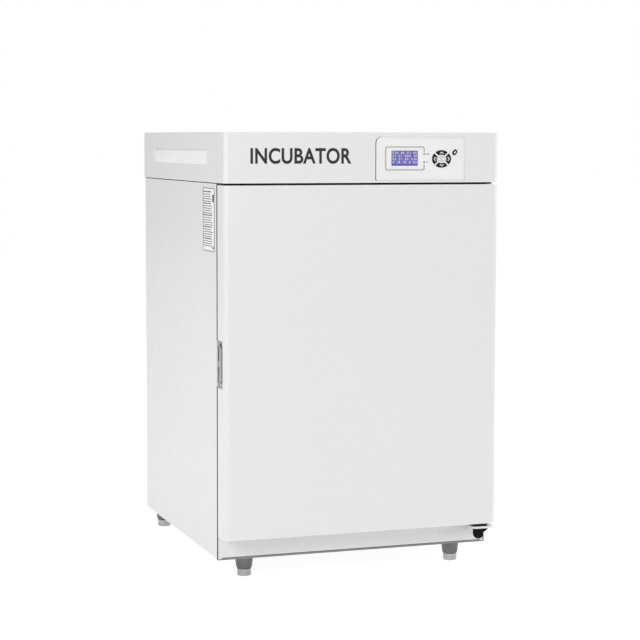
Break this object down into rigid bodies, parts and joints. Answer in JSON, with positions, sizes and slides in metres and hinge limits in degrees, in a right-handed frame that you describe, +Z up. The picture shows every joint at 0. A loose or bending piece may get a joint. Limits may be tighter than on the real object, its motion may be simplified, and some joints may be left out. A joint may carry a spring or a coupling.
{
  "type": "laboratory incubator",
  "caption": "Floor-standing heated laboratory incubator: insulated cabinet with a hinged outer door, an inner glass door, slotted shelves, a fan-stirred chamber and a control housing on top.",
  "frame": {"origin": "on the floor, under the middle of the cabinet's bounding box", "axes": "+Z up, the front faces -Y, +X to the right of someone facing the front"},
  "size_m": [0.614, 0.69, 0.945],
  "materials": {
    "white_paint": "fine textured powder coat, off-white",
    "fascia_plastic": "satin, white",
    "grey_plastic": "satin, mid grey",
    "black_plastic": "satin, black",
    "stainless": "brushed stainless steel",
    "zinc_steel": "zinc plated",
    "rubber": "soft, light grey silicone",
    "insulation": "mineral wool",
    "display": "backlit window, violet-blue",
    "glass": "clear toughened glass",
    "board": "green circuit board",
    "lamp": "small dark lens",
    "label": "blank printed label",
    "foot_metal": "dark grey collar over a light metal pad"
  },
  "bodies": {
    "cabinet": {"side_panel_left": "white_paint", "side_panel_right": "white_paint", "rear_panel": "white_paint", "front_frame": "white_paint", "plinth_panel": "white_paint", "control_housing": "white_paint", "hinge_bracket_lower": "white_paint", "control_fascia": "fascia_plastic", "bezel_frame": "grey_plastic", "mains_inlet": "black_plastic", "hinge_pin_lower": "black_plastic", "chamber_liner": "stainless", "shelf_rack_left": "stainless", "shelf_rack_right": "stainless", "shelf_lower": "stainless", "shelf_upper": "stainless", "air_duct_cover": "stainless", "heater_element": "stainless", "temperature_sensor": "stainless", "inner_door_frame": "stainless", "glass_pivot_lower": "stainless", "glass_pivot_upper": "stainless", "base_pan": "zinc_steel", "control_deck": "zinc_steel", "power_supply": "zinc_steel", "fan_motor": "zinc_steel", "latch_striker": "zinc_steel", "hinge_bracket_upper": "zinc_steel", "hinge_pin_upper": "zinc_steel", "insulation_jacket": "insulation", "lcd_window": "display", "control_board": "board", "lamp_run": "lamp", "lamp_heat": "lamp", "rating_label": "label"},
    "outer_door": {"door_skin": "white_paint", "door_insulation": "insulation", "door_liner": "white_paint", "door_gasket": "rubber", "latch_housing": "grey_plastic", "hinge_bush_lower": "grey_plastic", "hinge_bush_upper": "grey_plastic"},
    "latch": {"latch_lever": "zinc_steel"},
    "glass_door": {"glass_pane": "glass", "glass_seal": "rubber", "glass_hinge_lower": "stainless", "glass_hinge_upper": "stainless", "glass_knob": "grey_plastic"},
    "fan": {"fan_impeller": "zinc_steel"},
    "rocker": {"mains_switch": "black_plastic"},
    "key_up_cap": {"key_up": "black_plastic"},
    "key_down_cap": {"key_down": "black_plastic"},
    "key_left_cap": {"key_left": "black_plastic"},
    "key_right_cap": {"key_right": "black_plastic"},
    "key_set_cap": {"key_set": "fascia_plastic"},
    "key_power_cap": {"key_power": "black_plastic"},
    "levelling_foot_front_left": {"foot_front_left": "foot_metal"},
    "levelling_foot_front_right": {"foot_front_right": "foot_metal"},
    "levelling_foot_rear_left": {"foot_rear_left": "foot_metal"},
    "levelling_foot_rear_right": {"foot_rear_right": "foot_metal"}
  },
  "joints": [
    {"name": "outer_door_hinge", "type": "hinge", "parent": "cabinet", "child": "outer_door", "pos_m": [0.285, -0.33, 0.095], "axis": [0, 0, 1], "range_deg": [0, 115]},
    {"name": "glass_door_hinge", "type": "hinge", "parent": "cabinet", "child": "glass_door", "pos_m": [0.24, -0.2765, 0.145], "axis": [0, 0, 1], "range_deg": [0, 86.25]},
    {"name": "latch_lever_pivot", "type": "hinge", "parent": "outer_door", "child": "latch", "pos_m": [-0.2855, -0.316, 0.41], "axis": [0, 0, 1], "range_deg": [0, 20], "stiffness_Nm_per_rad": 0.5},
    {"name": "fan_spin", "type": "hinge", "parent": "cabinet", "child": "fan", "pos_m": [0, 0.187, 0.46], "axis": [0, 1, 0], "continuous": true},
    {"name": "mains_switch_rock", "type": "hinge", "parent": "cabinet", "child": "rocker", "pos_m": [0.171, 0.329, 0.125], "axis": [1, 0, 0], "range_deg": [-8, 8]},
    {"name": "key_up_press", "type": "slide", "parent": "cabinet", "child": "key_up_cap", "axis": [0, 1, 0], "range_m": [0, 0.0008], "stiffness_N_per_m": 400},
    {"name": "key_down_press", "type": "slide", "parent": "cabinet", "child": "key_down_cap", "axis": [0, 1, 0], "range_m": [0, 0.0008], "stiffness_N_per_m": 400},
    {"name": "key_left_press", "type": "slide", "parent": "cabinet", "child": "key_left_cap", "axis": [0, 1, 0], "range_m": [0, 0.0008], "stiffness_N_per_m": 400},
    {"name": "key_right_press", "type": "slide", "parent": "cabinet", "child": "key_right_cap", "axis": [0, 1, 0], "range_m": [0, 0.0008], "stiffness_N_per_m": 400},
    {"name": "key_set_press", "type": "slide", "parent": "cabinet", "child": "key_set_cap", "axis": [0, 1, 0], "range_m": [0, 0.0008], "stiffness_N_per_m": 400},
    {"name": "key_power_press", "type": "slide", "parent": "cabinet", "child": "key_power_cap", "axis": [0, 1, 0], "range_m": [0, 0.0008], "stiffness_N_per_m": 400},
    {"name": "foot_front_left_turn", "type": "hinge", "parent": "cabinet", "child": "levelling_foot_front_left", "pos_m": [-0.238, -0.252, 0.02], "axis": [0, 0, 1], "continuous": true},
    {"name": "foot_front_right_turn", "type": "hinge", "parent": "cabinet", "child": "levelling_foot_front_right", "pos_m": [0.238, -0.252, 0.02], "axis": [0, 0, 1], "continuous": true},
    {"name": "foot_rear_left_turn", "type": "hinge", "parent": "cabinet", "child": "levelling_foot_rear_left", "pos_m": [-0.27, 0.312, 0.02], "axis": [0, 0, 1], "continuous": true},
    {"name": "foot_rear_right_turn", "type": "hinge", "parent": "cabinet", "child": "levelling_foot_rear_right", "pos_m": [0.27, 0.312, 0.02], "axis": [0, 0, 1], "continuous": true}
  ],
  "couplings": [
    {"joint": "glass_door_hinge", "follows": "outer_door_hinge", "ratio": 0.75}
  ]
}
